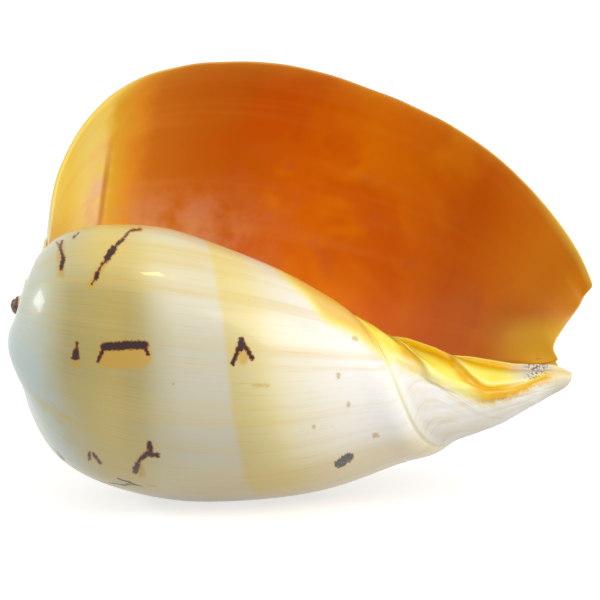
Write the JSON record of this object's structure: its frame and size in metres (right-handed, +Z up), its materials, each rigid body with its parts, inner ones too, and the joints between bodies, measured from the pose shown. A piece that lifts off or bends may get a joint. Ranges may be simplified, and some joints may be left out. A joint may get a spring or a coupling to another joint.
{
  "type": "melon shell",
  "caption": "Large rounded sea shell with a hidden spire, a very wide open mouth, folds on its pillar and a notch at its siphonal end.",
  "frame": {"origin": "centre of the bounding box in plan, on the surface it lies on", "axes": "+X from the apex to the siphonal end, +Y from the belly to the back of the mouth, +Z up as it lies with its mouth up"},
  "size_m": [0.2136, 0.1444, 0.154],
  "materials": {
    "shell": "glossy natural shell, cream outside with brown marks, orange inside"
  },
  "bodies": {
    "root": {"melon_shell": "shell"}
  },
  "joints": []
}
